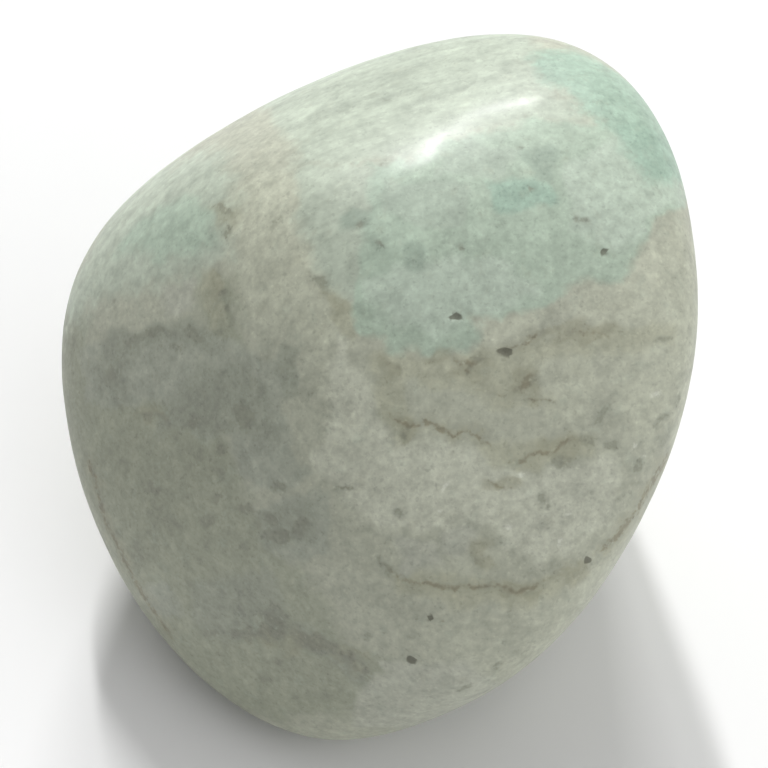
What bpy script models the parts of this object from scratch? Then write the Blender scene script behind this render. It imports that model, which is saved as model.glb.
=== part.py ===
"""A tumbled pebble of amazonite, lying on the small flat that it rests on.

Lengths are in metres and +Z is up. The origin is on the surface under the stone, below the middle of its
box. The stone is one solid: a lump of feldspar that broke along rough faces and was then rolled round with
grit until the faces ran into each other. Soft spots that fell out as it was rolled left small pits.
"""

import math

import bmesh
import bpy
from mathutils import Matrix, Vector, noise
from mathutils.bvhtree import BVHTree

MM = 0.001

# The broad front of the stone looks this far above the horizon, towards -Y.
FRONT_ELEVATION = math.radians(55.0)

# The faces that the lump broke along, as they lie when the front is seen square on. Each has its bearing
# round the outline, anticlockwise from the right, its lean towards the viewer, both in degrees, and its
# distance from the middle of the lump in millimetres.
OUTLINE_FACES = {
    "upper left flank": (126, 13, 13.0),
    "top": (108, -22, 16.7),
    "top right": (44, -22, 15.3),
    "right shoulder": (7, -12, 13.4),
    "right": (-3, -12, 12.2),
    "lower right": (-29, 0, 12.2),
    "bottom right": (-63, 0, 13.6),
    "bottom": (-86, 0, 23.4),
    "bottom left": (-146, 0, 20.6),
    "lower left flank": (210, 0, 15.2),
    "left": (162, 0, 16.7),
    "left shoulder": (147, -24, 16.7),
}
FRONT_FACES = {
    "upper slope": (103, 36, 12.9),
    "upper right slope": (49, 50, 16.4),
    "front": (65, 77, 12.9),
    "left front": (181, 47, 10.0),
    "right front": (-54, 82, 11.4),
    "low front": (-135, 43, 11.0),
}
BACK_FACES = {
    "base": (-90, -55, 9.6),
    "upper back": (90, -45, 11.4),
    "left back": (189, -40, 12.5),
    "right back": (-5, -25, 15.5),
    "back": (113, -66, 14.0),
}

# How little the tumbling rounded the faces into each other: a higher figure leaves flatter faces.
CRISPNESS = 8.0
# Slow swells that tumbling leaves in a hard stone: their height, and how far apart they are.
SWELL_HEIGHT = 0.06 * MM
SWELL_SPACING = 6.0 * MM
# The slice worn off under the stone, which makes the flat that it rests on.
FLAT_DEPTH = 0.03 * MM

SPHERE_STEPS = 5

# Pits, each by how far right of the middle and above it the pit shows when the front is seen square on, then
# its length and width, all in millimetres, and the bearing of its length in degrees.
FRONT_PITS = (
    (2.95, 2.71, 0.60, 0.32, 5),
    (4.85, 1.39, 0.72, 0.34, -5),
    (8.69, 5.26, 0.32, 0.30, 0),
    (8.12, -6.77, 0.42, 0.34, 20),
    (1.27, -10.80, 0.44, 0.36, -15),
    (2.00, -8.99, 0.32, 0.26, 30),
)
BACK_PITS = (
    (-4.20, 3.10, 0.52, 0.38, 40),
    (3.60, -1.20, 0.44, 0.34, 110),
    (5.20, 6.30, 0.38, 0.30, 15),
    (-6.80, -3.90, 0.46, 0.32, 75),
)
# How deep a pit is against its width.
PIT_DEPTH_SHARE = 0.3
PIT_STEPS = 2


def face_normal(bearing, lean):
    """Unit vector of a face from its bearing and lean, with +Z towards the viewer."""
    bearing, lean = math.radians(bearing), math.radians(lean)
    flat = math.cos(lean)
    return Vector((math.cos(bearing) * flat, math.sin(bearing) * flat, math.sin(lean)))


FACES = [
    (face_normal(bearing, lean), distance * MM)
    for group in (OUTLINE_FACES, FRONT_FACES, BACK_FACES)
    for bearing, lean, distance in group.values()
]


def reach(direction):
    """How far the skin lies from the middle of the lump: all the faces, run softly into each other."""
    nearness = sum((max(0.0, direction.dot(normal)) / distance) ** CRISPNESS for normal, distance in FACES)
    plain = nearness ** (-1.0 / CRISPNESS)
    return plain + SWELL_HEIGHT * noise.noise(direction * plain / SWELL_SPACING)


def tumbled_lump():
    """The whole stone, seen square on from +Z, as an even ball pushed out to its skin."""
    shape = bmesh.new()
    bmesh.ops.create_icosphere(shape, subdivisions=SPHERE_STEPS, radius=1.0)
    for point in shape.verts:
        direction = point.co.normalized()
        point.co = direction * reach(direction)
    return shape


def pit_cutters(shape):
    """A small egg at each pit, sunk half into the skin with its length along the skin."""
    cutters = bmesh.new()
    skin = BVHTree.FromBMesh(shape)
    for side, pits in ((1, FRONT_PITS), (-1, BACK_PITS)):
        for right, up, length, width, bearing in pits:
            start = Vector((right * MM, up * MM, side * 1.0))
            place, normal, _, _ = skin.ray_cast(start, Vector((0, 0, -side)))
            along = Vector((math.cos(math.radians(bearing)), math.sin(math.radians(bearing)), 0))
            across = normal.cross(along).normalized()
            along = across.cross(normal)
            size = Matrix.Diagonal((length / 2, width / 2, width * PIT_DEPTH_SHARE)).to_4x4()
            stand = Matrix((along, across, normal)).transposed().to_4x4()
            bmesh.ops.create_icosphere(
                cutters,
                subdivisions=PIT_STEPS,
                radius=MM,
                matrix=Matrix.Translation(place) @ stand @ size,
            )
    return cutters


def lay_down(shape, cutters):
    """Turns the front up to its elevation, wears the resting flat, and puts the origin under the stone."""
    turn = Matrix.Rotation(math.pi / 2 - FRONT_ELEVATION, 3, "X")
    for mesh in (shape, cutters):
        bmesh.ops.rotate(mesh, verts=mesh.verts, cent=Vector(), matrix=turn)
    floor = min(point.co.z for point in shape.verts) + FLAT_DEPTH
    everything = shape.verts[:] + shape.edges[:] + shape.faces[:]
    cut = bmesh.ops.bisect_plane(
        shape, geom=everything, dist=1e-7, plane_co=(0, 0, floor), plane_no=(0, 0, -1), clear_outer=True
    )
    rim = [item for item in cut["geom_cut"] if isinstance(item, bmesh.types.BMEdge)]
    bmesh.ops.contextual_create(shape, geom=rim)
    xs = [point.co.x for point in shape.verts]
    ys = [point.co.y for point in shape.verts]
    middle = Vector(((min(xs) + max(xs)) / 2, (min(ys) + max(ys)) / 2, floor))
    for mesh in (shape, cutters):
        bmesh.ops.translate(mesh, verts=mesh.verts, vec=-middle)
    bmesh.ops.recalc_face_normals(shape, faces=shape.faces)
    return middle


def amazonite():
    """Polished pale green feldspar."""
    material = bpy.data.materials.new("amazonite")
    material.use_nodes = True
    shader = material.node_tree.nodes["Principled BSDF"]
    shader.inputs["Base Color"].default_value = (0.44, 0.50, 0.41, 1.0)
    shader.inputs["Roughness"].default_value = 0.32
    shader.inputs["Metallic"].default_value = 0.0
    return material


def add_object(name, shape):
    """Puts a finished shape into the scene under its name."""
    mesh = bpy.data.meshes.new(name)
    shape.to_mesh(mesh)
    shape.free()
    thing = bpy.data.objects.new(name, mesh)
    bpy.context.scene.collection.objects.link(thing)
    return thing


def main():
    for old in list(bpy.data.objects):
        bpy.data.objects.remove(old)
    shape = tumbled_lump()
    cutters = pit_cutters(shape)
    lay_down(shape, cutters)

    pits = add_object("pit_cutters", cutters)
    pits.hide_render = True
    pits.display_type = "WIRE"

    stone = add_object("stone", shape)
    stone.data.shade_smooth()
    stone.data.set_sharp_from_angle(angle=math.radians(40))
    stone.data.materials.append(amazonite())
    cut = stone.modifiers.new("pits", "BOOLEAN")
    cut.operation = "DIFFERENCE"
    cut.object = pits
    # The long thin triangles round a pit take the shading of the broad faces beside them.
    stone.modifiers.new("even shading", "WEIGHTED_NORMAL")


main()
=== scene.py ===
# A tumbled pebble of amazonite lying on a plain pale floor, under soft studio light.
import math

import bmesh
import bpy
import numpy as np
from mathutils import Matrix, Vector, noise


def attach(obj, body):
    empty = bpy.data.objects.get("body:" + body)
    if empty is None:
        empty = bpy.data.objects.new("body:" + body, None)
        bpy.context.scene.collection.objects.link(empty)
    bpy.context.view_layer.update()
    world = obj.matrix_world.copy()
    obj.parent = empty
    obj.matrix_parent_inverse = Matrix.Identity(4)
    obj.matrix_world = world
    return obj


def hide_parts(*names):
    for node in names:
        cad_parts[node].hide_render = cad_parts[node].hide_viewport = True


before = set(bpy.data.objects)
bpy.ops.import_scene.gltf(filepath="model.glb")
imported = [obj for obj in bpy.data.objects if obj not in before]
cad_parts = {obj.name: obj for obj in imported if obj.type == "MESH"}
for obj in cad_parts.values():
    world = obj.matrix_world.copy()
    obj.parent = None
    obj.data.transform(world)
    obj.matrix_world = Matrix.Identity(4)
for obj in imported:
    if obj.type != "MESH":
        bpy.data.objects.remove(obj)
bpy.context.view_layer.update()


# The view. The stone lies on its flat, and its broad front looks up at the camera. Places on the stone are
# given in millimetres as the front is seen square on: right, up and towards the viewer, from the middle of
# the lump that its faces were measured from.
MM = 0.001
FRONT_ELEVATION = math.radians(55)
LUMP_MIDDLE = Vector((0.473, 0.973, 9.605)) * MM
SEEN_RIGHT = Vector((1, 0, 0))
SEEN_UP = Vector((0, math.sin(FRONT_ELEVATION), math.cos(FRONT_ELEVATION)))
SEEN_NEAR = SEEN_RIGHT.cross(SEEN_UP)
CAMERA_AIM = (0.17, 0.128)
CAMERA_DISTANCE = 115 * MM
CAMERA_CLIP = 1 * MM
LENS = 126.7


def from_seen(right, up, near):
    """A place or a direction in the frame, from its seen parts."""
    return SEEN_RIGHT * right + SEEN_UP * up + SEEN_NEAR * near


camera_data = bpy.data.cameras.new("camera")
camera_data.lens = LENS
camera_data.clip_start = CAMERA_CLIP
camera = bpy.data.objects.new("camera", camera_data)
bpy.context.scene.collection.objects.link(camera)
camera.location = LUMP_MIDDLE + from_seen(*CAMERA_AIM, 0) * MM + SEEN_NEAR * CAMERA_DISTANCE
camera.rotation_euler = Matrix((SEEN_RIGHT, SEEN_UP, SEEN_NEAR)).transposed().to_euler()
bpy.context.scene.camera = camera


# The floor. A broad sheet of plain white paper, laid flat under the stone. It is only the stage, and no part
# of the object.
PAPER_WIDTH = 12
PAPER_WHITE = (0.88, 0.88, 0.88, 1)
PAPER_ROUGHNESS = 0.9

bpy.ops.object.select_all(action="DESELECT")
bpy.ops.mesh.primitive_plane_add(size=PAPER_WIDTH)
paper = bpy.context.object
paper.name = "paper"
paper_white = bpy.data.materials.new("paper_white")
paper_white.use_nodes = True
paper_shader = paper_white.node_tree.nodes["Principled BSDF"]
paper_shader.inputs["Base Color"].default_value = PAPER_WHITE
paper_shader.inputs["Roughness"].default_value = PAPER_ROUGHNESS
paper.data.materials.append(paper_white)


# The light. Two strip lamps behind the stone make its bent highlight. Broad lamps stand over it, on its
# right, beside the camera and low in front, and a pale room fills in the rest.
ROOM_WHITE = (1, 1, 1, 1)
ROOM_STRENGTH = 0.22


def soft_lamp(name, bearing, lean, distance, width, length, watts):
    """A lamp that shines at the stone, placed by its seen bearing and its lean towards the viewer."""
    bearing, lean = math.radians(bearing), math.radians(lean)
    direction = from_seen(
        math.cos(bearing) * math.cos(lean), math.sin(bearing) * math.cos(lean), math.sin(lean)
    )
    lamp = bpy.data.lights.new(name, "AREA")
    lamp.shape = "RECTANGLE"
    lamp.size = width
    lamp.size_y = length
    lamp.energy = watts
    stand = bpy.data.objects.new(name, lamp)
    bpy.context.scene.collection.objects.link(stand)
    stand.location = LUMP_MIDDLE + direction * distance
    stand.rotation_euler = direction.to_track_quat("Z", "Y").to_euler()


soft_lamp("lamp_behind", bearing=95.8, lean=8.0, distance=1.2, width=0.04, length=0.354, watts=8.4)
soft_lamp("lamp_behind_end", bearing=90, lean=-3.2, distance=1.2, width=0.19, length=0.04, watts=4.1)
soft_lamp("lamp_above", bearing=90, lean=30, distance=1.5, width=1.8, length=1.8, watts=5.6)
soft_lamp("lamp_right", bearing=0, lean=20, distance=1.5, width=1.5, length=1.5, watts=5.9)
soft_lamp("lamp_front", bearing=20, lean=60, distance=1.5, width=1.5, length=1.5, watts=4.8)
soft_lamp("lamp_low", bearing=-95, lean=50, distance=1.5, width=1.4, length=0.5, watts=1.7)
room = bpy.data.worlds.new("room")
room.use_nodes = True
room.node_tree.nodes["Background"].inputs["Color"].default_value = ROOM_WHITE
room.node_tree.nodes["Background"].inputs["Strength"].default_value = ROOM_STRENGTH
bpy.context.scene.world = room
bpy.context.scene.view_settings.view_transform = "Standard"


# The stone. One natural lump of amazonite, a green feldspar grown through with paler feldspar and thin brown
# seams, tumbled with grit until its faces ran into each other. A fine ball is shrunk onto the solid's skin,
# and the soft swells, the pits and the hairline grooves along the seams are then worn into it.
BALL_STEPS = 7
BALL_RADIUS = 20 * MM
SMOOTHING_SHARE = 0.5
SMOOTHING_ROUNDS = 24

bpy.ops.object.select_all(action="DESELECT")
bpy.ops.mesh.primitive_ico_sphere_add(subdivisions=BALL_STEPS, radius=BALL_RADIUS, location=LUMP_MIDDLE)
pebble = bpy.context.object
pebble.name = "pebble"
bpy.ops.object.transform_apply(location=True, rotation=False, scale=False)
wrap = pebble.modifiers.new("wrap", "SHRINKWRAP")
wrap.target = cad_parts["stone"]
wrap.wrap_method = "PROJECT"
wrap.use_negative_direction = True
wrap.use_positive_direction = False
even = pebble.modifiers.new("even", "SMOOTH")
even.factor = SMOOTHING_SHARE
even.iterations = SMOOTHING_ROUNDS
for step in ("wrap", "even"):
    bpy.ops.object.modifier_apply(modifier=step)

# The marks on the stone, on its front and on its back, as they show from the front or through the stone from
# it, in seen millimetres, right and up. A patch of colour is how soft its edge is, then the corners of its
# outline. The colours listed later lie over those listed earlier.
FRONT, BACK = 1, -1
PATCHES = {
    "cream": {
        FRONT: (
            (0.9, (
                (-6.0, 8.2), (-3.0, 8.8), (-2.7, 6.2), (-1.9, 4.7), (-1.0, 3.2), (-1.0, 1.6), (-3.0, 1.8),
                (-4.2, 2.6), (-6.4, 3.0), (-6.3, 5.2),
            )),
            (0.7, ((6.3, 1.6), (6.5, -1.4), (7.6, -1.4), (8.2, -0.2), (8.2, 1.4))),
            (1.2, (
                (7.2, 3.2), (8.4, 4.2), (9.6, 5.2), (13.6, 7.0), (14.2, 2.0), (13.6, -4.0), (12.0, -4.6),
                (11.6, -3.2), (11.4, -1.4), (10.2, -2.0), (9.2, -0.9), (8.8, 1.0), (8.2, 2.4),
            )),
            (0.8, ((3.9, 2.6), (6.4, 3.0), (6.0, 2.1), (4.6, 1.8), (3.8, 1.7))),
        ),
        BACK: (
            (0.8, ((-12.0, 3.5), (-8.0, 4.5), (-4.5, 3.5), (-4.0, 0.5), (-7.0, -0.5), (-11.5, 0.8))),
            (0.7, ((0.5, 4.2), (4.5, 4.6), (6.8, 3.2), (5.5, 1.6), (1.5, 2.0))),
        ),
    },
    "pale": {
        FRONT: (
            (1.0, (
                (-1.8, 1.9), (-2.2, -2.0), (-2.6, -3.4), (-1.7, -3.9), (-0.4, -5.2), (0.6, -5.6),
                (4.2, -5.2), (5.6, -6.8), (7.2, -6.6), (9.4, -4.6), (9.2, -2.8), (7.4, -3.1), (5.0, -3.3),
                (4.3, -2.5), (3.0, -2.1), (1.0, -2.1), (-0.2, -1.2), (-0.9, 0.6), (-1.4, 1.8),
            )),
        ),
        BACK: (
            (0.9, (
                (-1.5, -1.0), (2.5, -0.5), (5.0, -4.0), (8.0, -6.0), (6.0, -9.0), (2.0, -7.5), (-1.0, -5.0),
            )),
            (0.9, ((8.5, 4.5), (12.0, 4.0), (12.5, 0.0), (10.0, -2.0), (8.0, 0.5))),
        ),
    },
    # The olive is partly the stone's own olive and partly painted shade. On the front its broad patch
    # darkens the whole lower left face, which turns away from the light. On the back it is colour only.
    "olive_and_shade": {
        FRONT: (
            (1.6, (
                (-14.5, 4.6), (-12.8, 4.4), (-12.2, 2.0), (-12.0, -0.2), (-8.0, -0.4), (-6.2, -0.9),
                (-5.4, -4.2), (-4.2, -5.2), (-3.4, -7.0), (-2.0, -8.6), (-1.0, -10.4), (0.8, -11.0),
                (1.2, -12.6), (-0.6, -13.0), (-4.0, -14.0), (-12.0, -14.0), (-15.0, -6.0),
            )),
            (1.0, ((-7.4, 4.5), (-5.7, 4.3), (-5.2, 1.6), (-7.0, 1.2))),
        ),
        BACK: (
            (1.4, (
                (-13.0, -1.0), (-9.0, -1.2), (-5.0, -2.5), (-3.0, -6.0), (-4.5, -9.5), (-2.0, -12.0),
                (-4.0, -15.0), (-12.0, -14.0), (-15.0, -6.0),
            )),
            (1.0, ((0.0, -9.0), (4.0, -9.5), (7.0, -8.5), (4.0, -13.0), (0.0, -14.0))),
        ),
    },
    "blue": {
        FRONT: (
            (0.7, (
                (-12.4, 1.7), (-10.3, 2.2), (-8.9, 2.4), (-7.2, 2.3), (-5.8, 2.0), (-4.6, 1.2), (-3.1, 1.4),
                (-3.1, 0.2), (-3.8, -0.4), (-3.6, -1.9), (-5.8, -1.4), (-6.0, -0.8), (-8.0, -0.8),
                (-12.4, -0.7),
            )),
            (0.6, (
                (-6.0, -0.2), (-4.0, -0.2), (-3.4, -2.0), (-2.6, -3.6), (-3.8, -4.1), (-5.4, -3.8),
                (-5.9, -2.2),
            )),
            (0.6, ((-4.7, -4.8), (-3.7, -4.3), (-2.1, -4.2), (-2.0, -6.3), (-3.2, -6.9), (-4.7, -6.4))),
            (0.7, ((-10.4, -8.6), (-9.0, -8.2), (-8.4, -9.4), (-9.4, -10.2))),
        ),
        BACK: (
            (0.8, ((-3.8, 2.2), (-0.8, 2.6), (0.2, 0.0), (-1.8, -2.6), (-4.2, -1.6))),
            (0.7, ((-8.0, -3.5), (-6.0, -3.0), (-5.0, -5.5), (-7.0, -7.0), (-9.0, -5.5))),
            (0.7, ((6.5, -6.5), (9.0, -5.0), (10.0, -7.0), (8.0, -8.5))),
        ),
    },
    "dusk": {
        FRONT: (
            (0.8, (
                (-12.4, 0.9), (-11.2, 2.0), (-10.0, 2.5), (-8.0, 2.7), (-6.8, 2.4), (-6.7, 1.5),
                (-8.4, 1.8), (-9.8, 1.5), (-10.4, 0.6), (-10.3, -0.6), (-11.6, -0.8),
            )),
            (1.0, ((-7.0, 1.0), (-5.4, 1.0), (-4.4, -0.2), (-3.9, -1.9), (-9.0, -1.9), (-8.6, -0.6))),
            (0.5, ((-3.9, 1.6), (-3.1, 1.6), (-3.1, -0.2), (-3.7, -0.4))),
            (0.6, ((-4.7, -4.7), (-2.8, -4.5), (-2.6, -6.2), (-4.6, -6.4))),
            (1.0, ((-7.9, -8.1), (-5.8, -7.6), (-4.3, -7.4), (-3.6, -9.6), (-5.6, -10.4), (-7.9, -10.2))),
            (0.8, ((-3.4, -9.8), (-2.2, -9.8), (-0.4, -11.0), (-0.4, -11.9), (-1.8, -11.4), (-3.2, -10.7))),
        ),
        BACK: (
            (0.7, ((-3.4, 1.6), (-1.4, 1.8), (-1.0, 0.2), (-2.8, -0.4))),
            (0.7, ((-8.2, -4.4), (-6.4, -3.8), (-6.0, -5.6), (-7.6, -6.4))),
            (0.8, ((1.2, -6.6), (3.4, -7.0), (3.0, -8.8), (1.0, -8.4))),
        ),
    },
    "tan": {
        FRONT: (
            (0.8, (
                (-0.4, 1.2), (2.4, 1.5), (4.0, 1.5), (5.8, 1.8), (8.8, 2.3), (11.4, 2.2), (11.4, 1.5),
                (8.6, 1.3), (6.3, 1.0), (6.3, -0.5), (4.6, -0.6), (2.6, 0.1), (0.8, 0.4), (1.4, -1.6),
                (0.6, -2.2), (-0.3, -0.8),
            )),
            (0.7, (
                (3.4, -1.7), (4.5, -2.0), (6.0, -2.1), (8.3, -1.7), (8.2, -2.7), (6.0, -3.2), (4.5, -3.1),
            )),
            (0.8, (
                (0.4, -7.0), (3.0, -7.3), (5.6, -7.5), (7.8, -6.7), (7.2, -7.9), (5.8, -8.6), (3.0, -8.5),
                (0.6, -8.0),
            )),
            (0.5, ((-2.3, 4.2), (-1.6, 3.8), (-0.9, 2.9), (-0.7, 1.9), (-1.6, 1.9), (-2.0, 3.2))),
            (0.5, ((-7.1, 7.5), (-5.7, 7.7), (-5.5, 6.5), (-6.0, 5.8), (-6.5, 6.6))),
            (0.6, ((-7.3, 4.6), (-6.2, 4.2), (-6.0, 2.6), (-6.9, 2.4))),
        ),
        BACK: (
            (0.6, (
                (-7.6, 1.6), (-6.0, 2.4), (-4.6, 3.0), (-2.0, 3.6), (-0.8, 4.2), (-2.2, 2.4), (-5.0, 1.8),
            )),
            (0.6, ((0.8, -3.6), (3.0, -3.0), (7.2, -1.9), (6.6, -3.4), (3.0, -4.6), (1.0, -4.6))),
            (0.6, ((1.8, 5.0), (4.8, 6.6), (7.4, 6.9), (7.0, 5.6), (4.5, 4.9))),
        ),
    },
    "pale_mint": {
        FRONT: (
            (1.4, ((-3.3, 8.8), (-3.1, 6.2), (-2.3, 4.6), (-1.4, 3.2), (0.6, 3.0), (1.6, 6.0), (0.8, 9.0))),
            (1.2, (
                (-4.0, 10.6), (-3.0, 8.6), (-1.0, 8.9), (1.0, 9.0), (4.2, 10.2), (6.0, 10.6), (8.4, 10.2),
                (7.8, 11.4), (6.4, 12.4), (6.4, 15.0), (0.0, 15.0), (-5.5, 12.5),
            )),
            (2.0, (
                (-9.6, 9.4), (-6.8, 9.9), (-5.8, 8.0), (-6.0, 5.0), (-8.4, 4.2), (-11.4, 3.8), (-13.2, 2.6),
                (-13.6, 3.6), (-12.0, 7.0),
            )),
        ),
        BACK: (
            (1.0, (
                (-5.5, 12.5), (-4.0, 11.5), (0.0, 10.5), (3.5, 11.0), (5.5, 12.5), (5.0, 15.0), (0.0, 15.0),
            )),
        ),
    },
    "mint": {
        FRONT: (
            (0.7, (
                (-0.4, 8.6), (-0.6, 5.0), (-0.9, 3.6), (-1.0, 2.7), (-0.6, 2.0), (0.3, 1.95), (0.45, 1.3),
                (1.2, 1.5), (3.6, 1.5), (3.8, 2.65), (5.6, 2.9), (6.4, 3.1), (6.8, 3.7), (7.4, 4.1),
                (9.4, 4.1), (10.0, 5.6), (11.6, 7.0), (14.0, 8.2), (13.5, 10.5), (10.5, 10.4), (8.4, 10.4),
                (6.0, 10.6), (4.2, 10.2), (1.0, 9.0), (-1.0, 8.9),
            )),
            (1.6, (
                (-6.4, 6.0), (-6.6, 7.0), (-8.4, 7.6), (-10.0, 7.0), (-11.0, 5.6), (-9.0, 5.4), (-7.6, 5.2),
            )),
        ),
        BACK: (
            (0.9, (
                (-4.0, 12.0), (-8.0, 9.0), (-10.0, 6.0), (-7.0, 4.5), (-3.0, 6.0), (0.0, 5.0), (3.0, 6.5),
                (6.0, 5.0), (9.0, 6.0), (13.5, 6.5), (13.5, 10.0), (9.0, 13.5), (3.0, 12.0),
            )),
            (0.7, ((4.0, -2.0), (7.0, -3.5), (8.5, -1.0), (7.0, 1.5), (4.5, 1.0))),
        ),
    },
    "bright_mint": {
        FRONT: (
            (1.2, (
                (-0.4, 4.4), (1.0, 4.6), (3.0, 4.9), (5.2, 4.8), (6.0, 3.6), (3.8, 2.6), (2.0, 2.2),
                (0.0, 2.6),
            )),
            (1.0, ((7.2, 8.8), (7.4, 6.2), (9.4, 5.4), (11.4, 7.2), (13.8, 8.0), (13.8, 9.8), (9.4, 9.9))),
        ),
        BACK: (
            (0.9, ((-7.0, 9.0), (-5.5, 10.6), (-2.0, 10.4), (-1.0, 9.0), (-3.0, 8.2), (-5.4, 8.0))),
        ),
    },
    "teal": {
        FRONT: (
            (1.2, (
                (6.1, 13.4), (6.3, 12.2), (7.4, 11.8), (8.2, 11.0), (9.2, 10.2), (9.8, 9.2), (10.6, 8.2),
                (11.8, 8.2), (13.0, 9.0), (11.5, 11.8), (9.5, 13.0), (8.0, 13.8),
            )),
            (0.6, ((4.0, 8.0), (4.4, 7.0), (6.7, 7.0), (6.8, 7.7), (5.6, 8.1))),
        ),
        BACK: (
            (0.8, (
                (6.1, 13.4), (7.4, 12.0), (9.3, 10.6), (11.0, 8.4), (13.0, 9.0), (11.5, 11.8), (9.5, 13.0),
            )),
            (0.7, ((-6.0, 8.2), (-4.0, 9.4), (-2.4, 8.6), (-3.5, 7.0), (-5.6, 6.8))),
            (0.6, ((2.5, 8.4), (4.2, 9.0), (4.6, 7.6), (3.2, 6.9))),
        ),
    },
    "slate": {
        FRONT: (
            (0.4, ((5.3, 9.6), (5.7, 8.9), (6.1, 8.0), (6.8, 8.0), (7.1, 9.3), (6.6, 9.8), (5.9, 9.4))),
            (0.6, ((-1.7, 6.8), (-0.5, 7.0), (-0.4, 6.2), (-1.5, 6.1))),
            (0.6, ((1.1, 5.5), (2.0, 5.4), (2.1, 4.5), (1.2, 4.4))),
        ),
        BACK: (
            (0.6, ((-1.0, 7.2), (0.2, 7.6), (0.6, 6.2), (-0.6, 5.8))),
            (0.6, ((5.2, 10.2), (6.8, 10.6), (7.2, 9.2), (5.8, 8.8))),
        ),
    },
    "grey_mint": {
        FRONT: (
            (0.5, ((0.0, 8.0), (0.1, 6.8), (2.1, 6.2), (3.2, 6.4), (3.5, 7.7), (2.0, 8.2))),
            (0.6, ((2.0, 8.3), (5.0, 8.2), (5.6, 9.4), (3.4, 9.6))),
        ),
        BACK: (
            (0.6, ((-1.6, 8.2), (0.8, 8.6), (1.2, 6.6), (-1.0, 6.2))),
            (0.6, ((6.0, 8.0), (8.2, 8.4), (8.4, 6.4), (6.4, 6.2))),
        ),
    },
    "lilac": {
        FRONT: (
            (0.5, ((0.8, -5.9), (2.2, -5.9), (2.4, -7.0), (0.9, -7.2))),
            (0.6, ((2.2, -5.5), (3.9, -5.4), (3.9, -6.5), (2.3, -6.6))),
            (0.8, ((0.1, -11.0), (3.6, -10.7), (5.0, -12.2), (3.0, -14.0), (-1.2, -14.0), (-1.0, -12.4))),
            (0.6, ((-8.8, 4.2), (-7.6, 4.2), (-7.4, 3.0), (-8.9, 2.9))),
        ),
        BACK: (
            (0.6, ((-7.0, -8.0), (-5.0, -7.5), (-4.6, -9.6), (-6.8, -10.0))),
            (0.6, ((0.8, 1.2), (3.0, 1.4), (3.2, -0.4), (1.2, -0.6))),
        ),
    },
}
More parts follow.
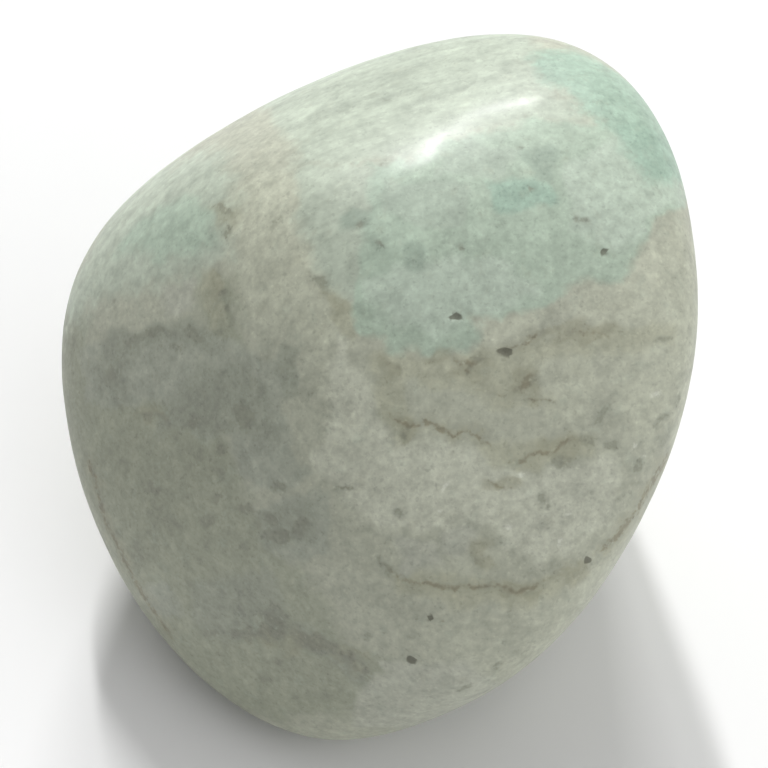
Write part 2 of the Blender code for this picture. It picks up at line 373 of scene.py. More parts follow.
# A spot is its middle, right and up, its length and width, and the bearing of its length in degrees. Stains
# are rusty, smoke is dark and shade is faint, flecks are white, and a pit is where a soft grain fell out.
SPOTS = {
    "stain": {
        FRONT: (
            (6.9, -2.4, 2.6, 1.5, 20), (5.4, -7.9, 2.8, 0.8, 0), (-6.5, 3.9, 2.0, 0.9, 85),
            (7.6, -7.1, 2.0, 1.3, 20), (1.0, -1.6, 1.4, 1.0, -20), (5.6, 0.1, 2.4, 1.4, 30),
            (3.6, 0.7, 2.4, 1.4, -10), (8.5, 2.0, 2.8, 1.0, 0), (6.9, 2.2, 2.6, 0.9, 10),
            (4.1, -6.4, 1.0, 1.6, 10), (-1.5, 3.1, 2.0, 0.8, -45), (-6.3, 7.0, 1.8, 1.4, 0),
            (0.2, 0.5, 0.8, 1.4, 0), (4.8, -3.8, 2.2, 0.8, -5), (2.0, 1.5, 2.0, 0.6, 0),
            (-1.5, -10.7, 3.4, 1.4, -25), (-3.1, -10.5, 1.8, 1.2, 0), (-4.6, -10.1, 2.4, 0.8, 0),
            (-9.2, -1.3, 3.0, 0.7, -5),
        ),
        BACK: (
            (-4.5, 2.6, 3.2, 1.3, 15), (3.5, -3.6, 3.6, 1.4, 10), (4.6, 5.8, 2.8, 1.2, 20),
            (-4.2, -5.8, 3.0, 1.1, 15), (9.4, 0.6, 1.4, 2.6, 0), (-8.6, 4.6, 2.0, 1.0, 40),
        ),
    },
    "smoke": {
        FRONT: (
            (-11.0, 0.6, 1.5, 1.0, 60), (-10.2, 1.8, 1.0, 0.6, 20), (-8.2, 1.6, 0.8, 0.7, 0),
            (-9.2, 2.2, 2.8, 0.6, 4), (-7.4, 2.1, 1.4, 0.6, -8), (-6.3, 7.1, 1.2, 0.6, -10),
            (-6.0, 6.2, 0.9, 0.6, 80), (-4.0, 6.5, 1.0, 0.6, 80), (-6.3, 3.8, 0.7, 0.6, 0),
            (-6.0, 3.1, 0.6, 0.5, 0), (-2.4, 4.1, 1.4, 0.7, -30), (-5.35, -1.15, 1.6, 1.0, -60),
            (-5.4, -1.1, 1.0, 0.8, -60), (-9.3, -1.2, 2.2, 0.5, -5), (-7.6, -1.4, 1.4, 0.6, 30),
            (-6.4, -2.5, 0.7, 0.6, 0), (-6.35, -3.5, 0.8, 0.7, 0), (-9.3, -4.2, 1.4, 0.6, 10),
            (-5.2, -4.8, 1.1, 0.5, 0), (-7.0, -5.4, 1.2, 0.6, 10), (-6.6, -4.5, 1.0, 0.5, 0),
            (-3.9, -4.0, 1.3, 0.6, -10), (-3.1, -5.4, 1.3, 0.8, 70), (-3.6, -5.95, 1.3, 0.8, 10),
            (-4.4, -5.9, 1.1, 0.7, -30), (-3.9, -5.9, 1.2, 0.9, 0), (-4.15, -5.35, 1.1, 0.8, 0),
            (-4.2, -5.1, 1.0, 0.7, 0), (-4.3, -9.2, 1.8, 1.5, 0), (-3.9, -9.8, 1.8, 1.1, 0),
            (-4.9, -10.0, 2.6, 0.8, -3), (-5.7, -10.2, 1.6, 0.9, 0), (-7.1, -10.2, 1.5, 0.5, 0),
            (-2.9, -10.3, 1.7, 1.3, 0), (-2.3, -10.2, 1.2, 0.9, 0), (-1.9, -10.45, 1.1, 0.8, -20),
            (-1.25, -10.9, 1.0, 0.9, 0), (-0.5, -11.4, 1.1, 0.5, 0), (-4.1, -11.2, 0.9, 0.5, 20),
            (-4.8, -12.1, 1.0, 0.6, -20), (-0.4, -9.85, 0.7, 0.5, 0), (-1.4, -3.95, 1.3, 0.45, 0),
            (0.8, -5.0, 0.9, 0.6, -50), (0.2, -6.9, 1.4, 0.6, -60), (6.4, -4.4, 1.1, 0.7, 80),
            (0.19, 8.98, 0.4, 0.35, 0), (8.7, -0.95, 1.8, 0.5, 45), (11.7, -0.5, 0.9, 0.5, 60),
            (11.0, -1.3, 1.0, 0.5, 40), (9.0, -2.2, 0.9, 0.5, 0), (10.1, -3.0, 1.0, 0.5, 30),
            (11.06, 1.88, 1.2, 0.5, 18), (12.6, 1.4, 0.9, 0.7, 60), (3.3, -12.0, 0.9, 0.35, 15),
            (4.7, -11.0, 0.8, 0.35, 30), (0.9, -1.7, 0.7, 0.9, 20), (3.9, 1.05, 1.3, 0.7, 20),
            (3.5, 0.7, 1.0, 0.6, 50), (5.9, 0.35, 1.1, 0.7, 30), (5.4, -0.05, 0.8, 0.4, 0),
            (6.9, -2.9, 1.5, 0.9, 15), (8.0, -2.1, 1.0, 0.5, 10), (3.2, 5.4, 0.6, 0.5, 0),
            (-0.15, 5.6, 0.7, 0.4, -20), (-0.8, 6.4, 0.7, 0.5, 20), (7.9, 6.5, 1.3, 0.35, -35),
            (5.95, 7.75, 0.8, 0.35, -50), (5.5, 9.4, 0.5, 0.4, 0),
        ),
        BACK: (
            (-5.8, -1.6, 1.7, 1.2, 30), (-4.4, 0.2, 1.2, 0.9, 0), (-7.4, -6.4, 1.6, 1.0, 20),
            (2.2, -7.9, 1.3, 0.9, 0), (3.4, 4.2, 1.0, 0.8, 0), (6.8, 8.2, 1.2, 0.8, 40),
            (-1.2, -5.2, 1.1, 0.8, 0), (-2.4, 1.4, 1.6, 0.8, -20), (-8.2, 2.2, 1.8, 0.5, 10),
            (-3.0, 9.4, 1.8, 0.6, 20), (0.4, 11.6, 2.2, 0.5, 10), (8.6, 3.0, 1.2, 0.8, 60),
            (7.2, -4.6, 1.4, 0.6, -30), (0.8, -0.8, 1.0, 0.8, 0), (-6.4, 5.2, 1.3, 0.9, 50),
            (4.8, 1.4, 0.8, 0.6, 0), (1.4, 9.0, 0.9, 0.6, 0), (-4.2, -10.6, 1.4, 0.8, 20),
            (9.8, 8.6, 1.2, 0.7, -40), (-9.6, -2.4, 1.5, 0.7, 60), (2.6, -11.4, 1.2, 0.7, 0),
            (-1.4, 3.4, 0.7, 0.6, 0), (5.4, 12.0, 1.6, 0.5, 0),
        ),
    },
    "shade": {
        FRONT: (
            (-0.9, 6.5, 1.6, 1.3, 0), (-0.15, 5.6, 1.2, 0.8, -20), (-0.9, 4.7, 1.6, 1.2, 90),
            (1.5, 4.7, 2.0, 1.5, 90), (3.2, 5.4, 1.2, 0.9, 0), (4.5, 6.6, 1.8, 1.3, 0),
            (5.9, 7.8, 1.2, 0.7, -50), (7.8, 6.5, 1.8, 0.7, -35), (6.9, 5.2, 1.4, 1.0, 60),
            (2.6, 5.9, 1.8, 0.6, 0), (0.4, 10.7, 1.5, 0.6, 10), (-1.5, 11.35, 2.6, 0.6, 8),
            (-0.4, 11.8, 3.0, 0.7, 12), (1.2, 12.5, 1.6, 0.7, 10), (0.4, 12.8, 1.6, 0.7, 12),
            (-4.4, 9.9, 1.2, 0.8, 0), (0.4, 9.45, 1.6, 1.3, 0), (-6.2, 11.1, 1.8, 0.8, 40),
            (-7.1, 8.9, 2.6, 0.9, 15), (-8.6, 9.1, 1.8, 0.8, 40), (-8.6, 7.7, 1.8, 0.9, 30),
            (-9.4, 7.0, 1.8, 0.9, 45), (-3.1, 7.9, 1.2, 0.6, 0), (3.5, 13.55, 3.2, 0.6, 18),
            (4.4, 12.1, 2.2, 0.8, 5), (5.2, 12.25, 1.6, 0.6, 5), (6.8, 12.3, 1.2, 1.0, 0),
            (7.4, 10.2, 1.3, 0.7, -60), (-0.2, 10.5, 1.2, 0.6, 0), (-1.1, 9.8, 1.0, 0.7, 0),
            (-3.0, 10.6, 2.0, 0.6, 20), (-5.2, 8.9, 2.4, 0.7, 15), (2.2, 11.6, 1.8, 0.9, 30),
            (1.0, 11.4, 2.0, 0.7, 10), (9.1, 2.4, 1.2, 0.9, 0), (10.0, 5.3, 1.6, 1.0, 0),
            (0.2, 0.4, 1.0, 1.6, 0), (-2.2, 6.0, 1.0, 1.4, 0), (11.4, 6.0, 1.4, 1.2, 0),
            (-4.4, 4.4, 1.8, 1.0, 40), (-4.8, 2.9, 1.6, 1.2, 0), (-2.6, -0.6, 1.4, 1.8, 0),
            (6.8, 0.4, 1.0, 1.6, 20), (9.6, 0.4, 1.6, 1.0, 30), (10.8, -2.0, 2.4, 1.4, 50),
            (7.0, -1.4, 2.2, 0.9, 40), (8.2, -3.9, 2.0, 1.0, 35), (3.2, -5.0, 1.8, 0.9, -30),
            (6.2, -5.4, 1.4, 1.0, 60), (0.8, -4.7, 1.6, 1.0, 0), (-1.4, -6.2, 1.8, 1.2, 0),
            (-1.6, -8.2, 2.0, 1.0, -20), (1.6, -9.0, 1.8, 0.8, 0), (5.2, -9.9, 2.6, 1.2, 20),
            (-7.2, -3.0, 2.6, 1.2, 0), (-8.8, -5.6, 2.6, 1.4, -30), (-5.6, -6.4, 2.2, 1.2, 20),
            (-10.2, -7.0, 1.8, 1.4, 0),
        ),
        BACK: (
            (-1.0, 6.4, 2.0, 1.4, 0), (3.8, 8.0, 2.4, 1.2, 30), (7.6, 7.0, 1.8, 1.6, 0),
            (-6.6, 7.2, 2.4, 1.2, 30), (-8.4, 5.0, 2.0, 1.2, 50), (0.6, 9.8, 2.6, 0.9, 10),
            (5.8, 11.2, 2.6, 0.9, -10), (9.6, 9.4, 2.0, 1.2, -50), (2.4, 0.8, 1.8, 1.2, 20),
            (-5.4, 3.6, 2.0, 1.0, 0), (8.2, -2.2, 2.0, 1.6, 60), (4.4, -6.4, 2.2, 1.2, -20),
            (0.4, -3.2, 1.8, 1.0, 0), (-3.4, -8.4, 2.2, 1.2, 20), (-8.6, -4.6, 2.0, 1.6, 0),
            (10.6, 2.4, 2.2, 1.2, 80), (-2.6, 11.6, 2.4, 0.8, 20), (-9.4, 0.4, 2.4, 1.0, 20),
            (5.6, 3.6, 1.6, 1.2, 0), (6.4, -8.2, 2.4, 1.0, 30),
        ),
    },
    "fleck": {
        FRONT: (
            (5.5, -3.4, 0.5, 0.36, 10), (7.3, -4.9, 0.45, 0.36, 0), (7.0, -6.0, 0.6, 0.32, 80),
            (10.8, -0.3, 0.5, 0.4, 40), (10.0, -2.3, 0.36, 0.28, 0), (2.3, -4.8, 0.3, 0.25, 0),
            (2.55, -3.8, 0.8, 0.3, 60), (10.3, -2.7, 0.4, 0.3, 0), (5.0, -5.4, 0.5, 0.3, 0),
        ),
        BACK: (
            (5.8, -4.6, 0.5, 0.35, 20), (-2.9, 5.9, 0.45, 0.35, 0), (8.1, 1.2, 0.6, 0.4, 60),
            (2.2, -5.8, 0.9, 0.6, 20), (-5.4, 1.0, 0.7, 0.4, 0),
        ),
    },
    "pit": {
        FRONT: (
            (2.95, 2.71, 0.6, 0.32, 5), (4.85, 1.39, 0.72, 0.34, -5), (8.69, 5.26, 0.32, 0.3, 0),
            (8.12, -6.77, 0.42, 0.34, 20), (1.27, -10.8, 0.44, 0.36, -15), (2.0, -8.99, 0.32, 0.26, 30),
        ),
        BACK: (
            (-4.2, 3.1, 0.52, 0.38, 40), (3.6, -1.2, 0.44, 0.34, 110), (5.2, 6.3, 0.38, 0.3, 15),
            (-6.8, -3.9, 0.46, 0.32, 75),
        ),
    },
}
# A seam is its width in millimetres, its strength, and the bends of its line, right and up.
SEAMS = {
    FRONT: (
        (0.45, 0.78, ((2.5, 1.24), (2.85, 1.14), (3.1, 0.93), (3.5, 0.9), (3.74, 0.94), (4.09, 1.15))),
        (0.36, 0.6, ((3.1, 0.93), (3.35, 0.68), (3.5, 0.52), (3.75, 0.45))),
        (0.36, 0.5, ((4.54, 1.46), (4.85, 1.39), (5.35, 1.61), (5.7, 1.76), (6.14, 2.07), (6.67, 2.28))),
        (0.51, 0.3, ((6.67, 2.28), (7.15, 2.16), (7.73, 2.1), (8.67, 2.09), (9.09, 1.77), (9.51, 1.7))),
        (0.51, 1.0, ((5.0, -0.05), (5.43, -0.07), (5.68, 0.22), (5.87, 0.44), (6.22, 0.48))),
        (0.3, 0.35, ((5.43, -0.07), (5.68, -0.47), (6.12, -0.48), (6.73, -0.61), (7.2, -0.7))),
        (0.33, 0.25, ((3.3, 0.02), (3.9, -0.12), (4.6, -0.32), (5.3, -0.36))),
        (0.36, 0.5, (
            (0.1, -0.75), (0.6, -1.2), (1.1, -1.45), (1.54, -1.42), (1.76, -1.33), (2.03, -1.42),
            (2.31, -1.6), (2.59, -1.71), (2.85, -1.89), (3.0, -1.79), (3.41, -1.72), (3.74, -1.86),
            (3.97, -2.03), (4.23, -2.24), (4.52, -2.46),
        )),
        (0.39, 0.48, (
            (4.6, -2.84), (5.15, -2.94), (5.65, -2.86), (5.79, -2.64), (6.14, -2.53), (6.53, -2.53),
            (6.8, -2.41), (7.05, -2.19), (7.26, -2.04), (7.56, -2.02), (7.96, -2.1),
        )),
        (0.36, 0.4, ((3.8, -3.56), (4.24, -3.64), (4.52, -3.8), (4.81, -3.93), (5.58, -3.97))),
        (0.33, 0.3, ((-1.9, -4.02), (-1.5, -3.94), (-1.1, -3.84), (-0.7, -3.92))),
        (0.39, 0.45, (
            (0.05, -6.6), (0.25, -7.05), (0.8, -7.45), (1.3, -7.62), (1.81, -7.6), (2.13, -7.74),
            (2.9, -7.84), (3.3, -7.74), (3.98, -7.8), (4.34, -7.66), (4.75, -7.74), (5.36, -8.0),
            (5.73, -7.91), (6.03, -7.76), (6.38, -7.52), (6.85, -7.36),
        )),
        (0.45, 0.32, ((6.55, -7.4), (7.0, -7.1), (7.45, -6.9), (7.85, -6.84), (8.12, -6.77))),
        # This line runs along the lower right rim, a thin dark line close inside the edge.
        (0.42, 0.55, (
            (8.12, -6.77), (8.93, -6.18), (9.27, -5.93), (9.58, -5.53), (10.06, -4.96), (10.44, -4.23),
            (10.83, -3.58), (11.32, -2.87), (11.6, -2.08),
        )),
        # This line runs along the lower left rim, a thin dark line close inside the edge.
        (0.36, 0.55, (
            (-12.4, -2.6), (-12.01, -3.91), (-11.64, -5.41), (-11.39, -6.04), (-10.97, -6.95),
            (-10.52, -7.94), (-9.93, -8.94), (-9.32, -9.95), (-8.64, -10.96),
        )),
        (0.36, 0.42, ((0.5, -10.7), (0.9, -10.76), (1.27, -10.8))),
        (0.3, 0.25, ((2.0, -8.99), (2.45, -9.15), (2.95, -9.32))),
    ),
    BACK: (
        (0.39, 0.5, ((-7.2, 2.1), (-5.8, 2.6), (-4.9, 2.4), (-3.6, 3.2), (-2.1, 3.0), (-1.2, 3.7))),
        (0.39, 0.48, ((1.1, -4.1), (2.3, -3.6), (3.1, -3.9), (4.6, -3.1), (5.6, -3.4), (6.9, -2.6))),
        (0.36, 0.45, ((2.2, 5.1), (3.7, 5.9), (4.6, 5.7), (5.9, 6.6), (7.0, 6.3))),
        (0.36, 0.42, ((-6.1, -6.2), (-4.8, -5.6), (-3.9, -6.0), (-2.4, -5.1))),
        (0.36, 0.35, ((8.3, 2.6), (8.9, 1.6), (9.0, 0.6), (9.6, -0.4), (9.5, -1.4))),
    ),
}

# In millimetres: how far off a ray at the skin starts, how much deeper a spot reaches than it is long, and
# how far in depth a seam reaches.
RAY_START = 40
SPOT_DEPTH = 1
SEAM_DEPTH = 4
# How far the skin turns from the viewer while a patch fades at the rim, and over how many of its widths a
# seam tapers to its ends.
RIM_FADE = 0.25
TAPER_WIDTHS = 2


def seen_places():
    """Right, up and near of every point of the pebble, in millimetres."""
    flat = np.empty(len(pebble.data.vertices) * 3)
    pebble.data.vertices.foreach_get("co", flat)
    seen_axes = np.array(Matrix((SEEN_RIGHT, SEEN_UP, SEEN_NEAR)))
    return (flat.reshape(-1, 3) - np.array(LUMP_MIDDLE)) @ seen_axes.T / MM


def seen_facing():
    """How far the skin turns to the viewer at every point of the pebble, from -1 to 1."""
    flat = np.empty(len(pebble.data.vertices) * 3)
    pebble.data.vertices.foreach_get("normal", flat)
    return flat.reshape(-1, 3) @ np.array(SEEN_NEAR)


def skin_near(right, up, side):
    """How near the skin is to the viewer at a seen place, on the front or on the back."""
    start = LUMP_MIDDLE + from_seen(right, up, RAY_START * side) * MM
    _, place, _, _ = pebble.ray_cast(start, SEEN_NEAR * -side)
    return (place - LUMP_MIDDLE).dot(SEEN_NEAR) / MM


def turned(offsets, bearing):
    """Offsets in the seen plane as along and across a line of that bearing."""
    cosine, sine = math.cos(bearing), math.sin(bearing)
    return offsets @ np.array(((cosine, -sine), (sine, cosine)))


def inside_patches(places, facing, patches):
    """How far inside the patches each place is: 0 outside, 1 inside, and a rise over the soft edge."""
    inside = np.zeros(len(places))
    flat = places[:, :2]
    for side in patches:
        on_side = (facing * side / RIM_FADE + 0.5).clip(0, 1)
        for softness, outline in patches[side]:
            corners = np.array(outline)
            nearest = np.full(len(flat), np.inf)
            enclosed = np.zeros(len(flat), bool)
            for start, end in zip(corners, np.roll(corners, -1, axis=0)):
                edge = end - start
                share = ((flat - start) @ edge / (edge @ edge)).clip(0, 1)
                nearest = np.minimum(nearest, np.hypot(*(flat - start - share[:, None] * edge).T))
                # Only an edge that is passed on its level is met, so a level edge needs no true slope.
                level = (start[1] > flat[:, 1]) != (end[1] > flat[:, 1])
                meeting = start[0] + (flat[:, 1] - start[1]) * edge[0] / (edge[1] or 1.0)
                enclosed ^= level & (flat[:, 0] < meeting)
            depth = np.where(enclosed, nearest, -nearest)
            inside = np.maximum(inside, (depth / softness + 0.5).clip(0, 1) * on_side)
    return inside


def inside_spots(places, spots, growth=1.0):
    """How far inside the spots each place is: 0 outside, rising to 1 in the middle of one."""
    inside = np.zeros(len(places))
    for side in spots:
        for right, up, length, width, bearing in spots[side]:
            size = np.array((length, width)) * growth / 2
            flat = turned(places[:, :2] - (right, up), math.radians(bearing)) / size
            deep = (places[:, 2] - skin_near(right, up, side)) / (length + SPOT_DEPTH)
            inside += (1 - np.hypot(np.hypot(flat[:, 0], flat[:, 1]), deep)).clip(0)
    return inside


def beside_seams(places, spread=0.0):
    """How close to a seam's middle each place is, from 0 to the seam's strength, on seams spread wider."""
    closeness = np.zeros(len(places))
    for side in SEAMS:
        for width, strength, bends in SEAMS[side]:
            points = np.array(bends)
            run = points[-1] - points[0]
            bearing = math.atan2(run[1], run[0])
            line = turned(points - points[0], bearing)
            along, across = turned(places[:, :2] - points[0], bearing).T
            middle = np.interp(along, line[:, 0], line[:, 1])
            tip = TAPER_WIDTHS * width
            taper = np.minimum(along, line[-1, 0] - along).clip(0, tip) / tip
            on_side = np.abs(places[:, 2] - skin_near(*bends[0], side)) < SEAM_DEPTH
            beside = (1 - np.abs(across - middle) / (width / 2 + spread)).clip(0)
            closeness = np.maximum(closeness, beside * taper * on_side * strength)
    return closeness


def astray(places, wanders):
    """The places moved about by noise. A wander is how far apart its swings are and how wide they are."""
    moved = places.copy()
    for spacing, drift in wanders:
        moved += [drift * noise.noise_vector(Vector(place) / spacing) for place in places]
    return moved


# Pits, flecks, smoke and seams get finer faces than the rest of the skin. Each round halves the edges on
# less of it: how far past the seams, how large against the pits, and whether flecks and smoke are in it.
FINER_ROUNDS = ((0.22, 1.6, True), (0.02, 1.3, False), (-0.05, 1.1, False))
for spread, growth, spots_too in FINER_ROUNDS:
    places = seen_places()
    finer = (beside_seams(places, spread) > 0) | (inside_spots(places, SPOTS["pit"], growth) > 0)
    if spots_too:
        finer |= inside_spots(places, SPOTS["fleck"], growth) > 0
        finer |= inside_spots(places, SPOTS["smoke"]) > 0
    bpy.ops.object.mode_set(mode="EDIT")
    skin = bmesh.from_edit_mesh(pebble.data)
    for point, wanted in zip(skin.verts, finer):
        point.select = bool(wanted)
    skin.select_mode = {"VERT"}
    skin.select_flush_mode()
    bmesh.update_edit_mesh(pebble.data)
    bpy.ops.mesh.subdivide(smoothness=1.0)
    bpy.ops.mesh.select_all(action="SELECT")
    bpy.ops.mesh.quads_convert_to_tris()
    bpy.ops.object.mode_set(mode="OBJECT")

# Every point learns how much of each mark it has. What grew in the stone has edges that wander: broadly on
# patches, closely on pits and seams, and both ways on stains and shade. The seed makes them wander the same
# way at every run.
WANDER_SEED = 2
BROAD_WANDERS = ((1.6, 0.35), (0.6, 0.22))
RAGGED_WANDERS = ((0.6, 0.28), (0.22, 0.12))
FRAYED_WANDERS = ((0.35, 0.08), (0.16, 0.04))
SEAM_STAIN_SPREAD = 0.35

noise.seed_set(WANDER_SEED)
places = seen_places()
facing = seen_facing()
wandering = astray(places, BROAD_WANDERS)
ragged = astray(places, RAGGED_WANDERS)
frayed = astray(places, FRAYED_WANDERS)
torn = ragged + wandering - places
marks = {name: inside_patches(wandering, facing, PATCHES[name]) for name in PATCHES}
marks["stain"] = inside_spots(torn, SPOTS["stain"])
marks["smoke"] = inside_spots(ragged, SPOTS["smoke"])
marks["shade"] = inside_spots(torn, SPOTS["shade"])
marks["fleck"] = inside_spots(frayed, SPOTS["fleck"])
marks["pit"] = inside_spots(frayed, SPOTS["pit"])
marks["seam"] = beside_seams(frayed)
marks["seam_stain"] = beside_seams(ragged, SEAM_STAIN_SPREAD)
for name, share in marks.items():
    pebble.data.attributes.new(name, "FLOAT", "POINT").data.foreach_set("value", share)

# The tumbling left swells and ripples, by how far apart they are and how high. Then the pits and the grooves
# are worn in, by the power of the mark's share that they follow, and how deep.
WORN_BY_NOISE = {"swells": (3.2 * MM, 0.05 * MM), "ripples": (0.9 * MM, 0.010 * MM)}
WORN_BY_MARK = {"pit": (0.6, 0.03 * MM), "seam": (1.0, 0.006 * MM)}
for name, (spacing, height) in WORN_BY_NOISE.items():
    pattern = bpy.data.textures.new(name, "CLOUDS")
    pattern.noise_scale = spacing
    pattern.noise_depth = 1
    worn = pebble.modifiers.new(name, "DISPLACE")
    worn.texture = pattern
    worn.texture_coords = "LOCAL"
    worn.strength = height
for name, (fullness, depth) in WORN_BY_MARK.items():
    group = pebble.vertex_groups.new(name=name)
    for index in np.flatnonzero(marks[name]):
        group.add([int(index)], float(marks[name][index]) ** fullness, "REPLACE")
    worn = pebble.modifiers.new(name, "DISPLACE")
    worn.vertex_group = name
    worn.mid_level = 0
    worn.strength = -depth
for name in (*WORN_BY_NOISE, *WORN_BY_MARK):
    bpy.ops.object.modifier_apply(modifier=name)
bpy.ops.object.shade_smooth()


# The amazonite's colours come from the marks, broken up by soft noise at the place on the stone.
class Shade:
    """A value on its way through the amazonite's nodes. Sums of shades add the nodes that work them out."""

    def __init__(self, socket):
        self.socket = socket

    def node(self, kind, settings, sockets, output=0):
        """A new node: its settings are set first, then the values or the links of its sockets."""
        new = self.socket.id_data.nodes.new(kind)
        for name, setting in settings.items():
            setattr(new, name, setting)
        for name, value in sockets.items():
            if isinstance(value, Shade):
                new.id_data.links.new(value.socket, new.inputs[name])
            else:
                new.inputs[name].default_value = value
        return Shade(new.outputs[output])

    def maths(self, operation, first, second):
        """What an operation makes of two values."""
        return self.node("ShaderNodeMath", {"operation": operation}, {0: first, 1: second})

    def __add__(self, other):
        return self.maths("ADD", self, other)

    def __sub__(self, other):
        return self.maths("SUBTRACT", self, other)

    def __rsub__(self, other):
        return self.maths("SUBTRACT", other, self)

    def __mul__(self, other):
        return self.maths("MULTIPLY", self, other)

    __radd__ = __add__
    __rmul__ = __mul__


amazonite = bpy.data.materials.new("amazonite")
amazonite.use_nodes = True
shader = amazonite.node_tree.nodes["Principled BSDF"]
pebble.data.materials.append(amazonite)
place = Shade(amazonite.node_tree.nodes.new("ShaderNodeTexCoord").outputs["Object"])

# The feldspar's two cleavages lie along and across its front. Fine noise frays the edges of its blocks, by
# how many swings it has to the millimetre, and how wide they are.
CLEAVAGE_TURN = (FRONT_ELEVATION - math.pi / 2, 0, 0.06)
BLOCK_FRAY_PER_MM = 2.2
BLOCK_FRAY = [0.5 * MM] * 3
# A Mix node has sockets for every kind of value. These are the places of its colours.
COLOUR_UNDER, COLOUR_OVER, COLOUR_BLENDED = 6, 7, 2


def mark(name):
    """The share that every point of the pebble has of a mark."""
    return place.node("ShaderNodeAttribute", {"attribute_name": name}, {}, output="Fac")


def cloud(per_mm, detail, roughness, shift):
    """Soft noise about 0, with so many lumps to the millimetre, shifted so that no two clouds match."""
    shift = [part * MM for part in shift]
    moved = place.node("ShaderNodeVectorMath", {"operation": "ADD"}, {0: place, 1: shift})
    lumps = {"Vector": moved, "Scale": per_mm / MM, "Detail": detail, "Roughness": roughness}
    return place.node("ShaderNodeTexNoise", {}, lumps, output="Fac") - 0.5


def blocks(per_mm, shift):
    """Rough blocks of even shade, about 0, with their sides along the two cleavages of the feldspar."""
    fine = {"Vector": place, "Scale": BLOCK_FRAY_PER_MM / MM, "Detail": 2}
    fray = place.node("ShaderNodeTexNoise", {}, fine, output="Color")
    frayed = place.node(
        "ShaderNodeVectorMath", {"operation": "MULTIPLY_ADD"}, {0: fray, 1: BLOCK_FRAY, 2: place}
    )
    shift = [part * MM for part in shift]
    cleft = place.node(
        "ShaderNodeMapping", {}, {"Vector": frayed, "Location": shift, "Rotation": CLEAVAGE_TURN}
    )
    cells = {"Vector": cleft, "Scale": per_mm / MM}
    return place.node("ShaderNodeTexVoronoi", {"distance": "CHEBYCHEV"}, cells, output="Color") - 0.5


def grown_streaks(bearing, shape, per_mm, detail, roughness):
    """Noise about 0, drawn out along a seen bearing into streaks of that shape."""
    along = from_seen(math.cos(bearing), math.sin(bearing), 0).to_track_quat("X", "Z").to_euler()
    drawn_out = place.node(
        "ShaderNodeMapping",
        {"vector_type": "TEXTURE"},
        {"Vector": place, "Rotation": along, "Scale": shape},
    )
    lumps = {"Vector": drawn_out, "Scale": per_mm / MM, "Detail": detail, "Roughness": roughness}
    return place.node("ShaderNodeTexNoise", {}, lumps, output="Fac") - 0.5


def between(value, low, high):
    """0 below low, 1 above high, and a smooth rise between them."""
    ends = {"Value": value, "From Min": low, "From Max": high}
    return value.node("ShaderNodeMapRange", {"interpolation_type": "SMOOTHSTEP"}, ends)


def blend(share, under, over):
    """One colour over another, by a share."""
    colours = {0: share, COLOUR_UNDER: under, COLOUR_OVER: over}
    return share.node("ShaderNodeMix", {"data_type": "RGBA"}, colours, output=COLOUR_BLENDED)


# The streaks that the pale feldspar grew in, several times as long as they are wide, then the noises from
# the slowest to the finest, and the blocks.
streaks = grown_streaks(math.radians(24), shape=(4.5, 1, 1), per_mm=1.5, detail=4, roughness=0.65)
blotches = cloud(0.9, detail=3, roughness=0.6, shift=(2, 4, 8))
rust = cloud(1.3, detail=4, roughness=0.7, shift=(3, 8, 6))
mottle = cloud(1.9, detail=2, roughness=0.6, shift=(1, 6, 2))
grain = cloud(3.4, detail=2, roughness=0.7, shift=(9, 9, 3))
dust = cloud(5.0, detail=1.5, roughness=0.6, shift=(5, 3, 6))
broad_blocks = blocks(0.7, shift=(3, 2, 5))
small_blocks = blocks(1.9, shift=(7, 1, 4))


def broken_up(name, by_blotches=0, by_mottle=0, by_grain=0, by_dust=0):
    """The share of a mark, made patchy by the noises."""
    patterns = (blotches, mottle, grain, dust)
    strengths = (by_blotches, by_mottle, by_grain, by_dust)
    share = 1
    for pattern, strength in zip(patterns, strengths):
        if strength:
            share = share + pattern * strength
    return mark(name) * share


# The colours of the patches, in the order in which they are laid on the beige, and how much each covers. A
# patch sets in between two shares, at an edge that the noises break up.
BEIGE = (0.465, 0.485, 0.385, 1)
PALE_MINT = (0.468, 0.532, 0.432, 1)
PATCH_COLOURS = {
    "cream": ((0.535, 0.558, 0.440, 1), 0.90),
    "pale": ((0.572, 0.594, 0.482, 1), 0.90),
    # The olive is partly painted shade: it darkens the lower left of the front, where little light falls.
    "olive_and_shade": ((0.360, 0.382, 0.290, 1), 1.00),
    "blue": ((0.390, 0.417, 0.340, 1), 0.85),
    "dusk": ((0.335, 0.358, 0.285, 1), 0.85),
    "tan": ((0.448, 0.458, 0.340, 1), 0.70),
    "pale_mint": (PALE_MINT, 0.90),
    "mint": ((0.430, 0.534, 0.425, 1), 0.90),
    "bright_mint": ((0.500, 0.588, 0.484, 1), 0.90),
    "teal": ((0.355, 0.498, 0.398, 1), 0.85),
    "slate": ((0.320, 0.400, 0.322, 1), 0.70),
    "grey_mint": ((0.415, 0.485, 0.400, 1), 0.60),
    "lilac": ((0.485, 0.505, 0.418, 1), 0.80),
}
PATCH_EDGE = (0.2, 0.8)
EDGE_BLOTCHES = 0.7
EDGE_MOTTLE = 0.5

colour = BEIGE
for name, (tint, cover) in PATCH_COLOURS.items():
    patchy = mark(name) + blotches * EDGE_BLOTCHES + mottle * EDGE_MOTTLE
    colour = blend(between(patchy, *PATCH_EDGE) * cover, colour, tint)

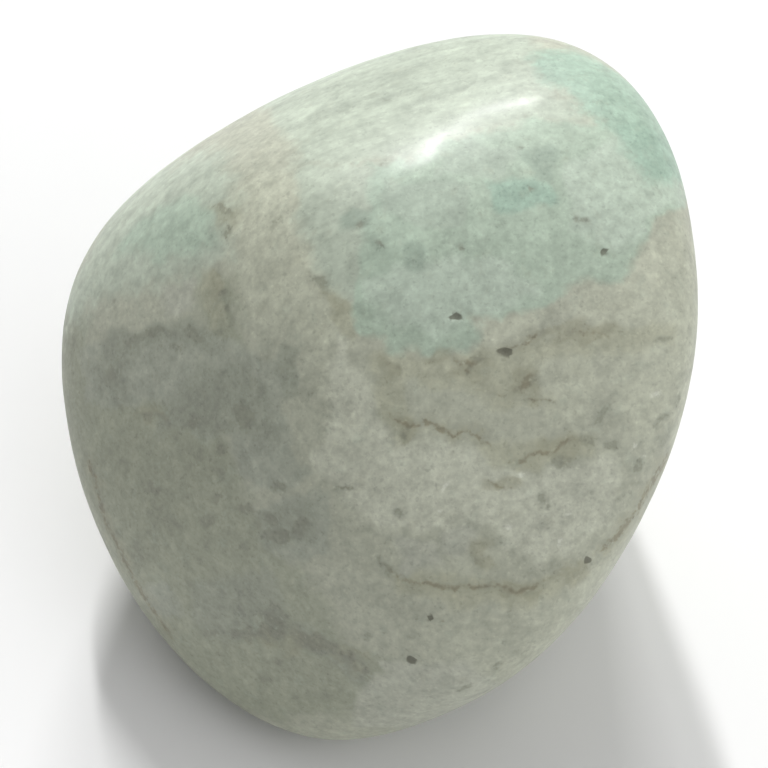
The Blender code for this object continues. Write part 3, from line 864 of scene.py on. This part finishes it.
# What lies over the patches: thin rust where its noise is high and thin pale mint where it is low, then the
# stains, the smoke, the seams with their stained borders, the pits and the flecks. Each is its share, the
# shares between which it sets in, how much it covers, and its colour.
STAIN = (0.360, 0.362, 0.262, 1)
SMOKE = (0.250, 0.262, 0.200, 1)
SEAM_BROWN = (0.205, 0.182, 0.115, 1)
PIT_DARK = (0.110, 0.110, 0.075, 1)
FLECK_WHITE = (0.780, 0.800, 0.700, 1)
PIT_FRAY = 0.2
OVERLAYS = (
    (rust, (0.04, 0.24), 0.20, STAIN),
    (0 - rust, (0.04, 0.24), 0.25, PALE_MINT),
    (broken_up("stain", by_blotches=2.4, by_mottle=1.6), (0.02, 0.65), 0.65, STAIN),
    (broken_up("smoke", by_mottle=2.5, by_grain=2.5, by_dust=2), (0.04, 0.80), 0.68, SMOKE),
    (broken_up("seam_stain", by_mottle=3, by_grain=2), (0.02, 0.70), 0.65, STAIN),
    (broken_up("seam", by_blotches=2, by_grain=3, by_dust=3), (0.04, 0.65), 0.60, SEAM_BROWN),
    (mark("pit") + grain * PIT_FRAY, (0.10, 0.50), 0.80, PIT_DARK),
    (broken_up("fleck", by_grain=3), (0.10, 0.70), 0.50, FLECK_WHITE),
)
for share, edge, cover, tint in OVERLAYS:
    colour = blend(between(share, *edge) * cover, colour, tint)

# How much each pattern lightens the stone, or darkens it, about this middle. The grain is stronger in the
# pale feldspar and weaker in the pale mint. The streaks are strongest there, and next in the cream.
MIDDLE_LIGHT = 0.985
LIGHT_AND_DARK = (
    (grain * (1 + mark("pale") * 0.3 - mark("pale_mint") * 0.5), 0.45),
    (streaks * (0.10 + mark("pale_mint") * 0.55 + mark("cream") * 0.25), 1),
    (mottle, 0.50),
    (blotches, 0.20),
    (broad_blocks, 0.12),
    (small_blocks, 0.08),
    (between(broken_up("shade", by_blotches=2.4, by_mottle=2), 0.03, 0.50), -0.07),
    (between(0 - dust, 0.13, 0.24), 0.10),
    (between(dust + mottle * 0.3, 0.10, 0.22), -0.13),
)
light = MIDDLE_LIGHT
for pattern, strength in LIGHT_AND_DARK:
    light = light + pattern * strength
colour = colour.node("ShaderNodeVectorMath", {"operation": "SCALE"}, {0: colour, "Scale": light})
amazonite.node_tree.links.new(colour.socket, shader.inputs["Base Color"])

# The tumbling left a satin skin under a thin soft gloss.
SATIN_ROUGHNESS = 0.55
GLOSS = 0.12
GLOSS_ROUGHNESS = 0.17
shader.inputs["Roughness"].default_value = SATIN_ROUGHNESS
shader.inputs["Coat Weight"].default_value = GLOSS
shader.inputs["Coat Roughness"].default_value = GLOSS_ROUGHNESS

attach(pebble, "root")
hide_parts("stone")
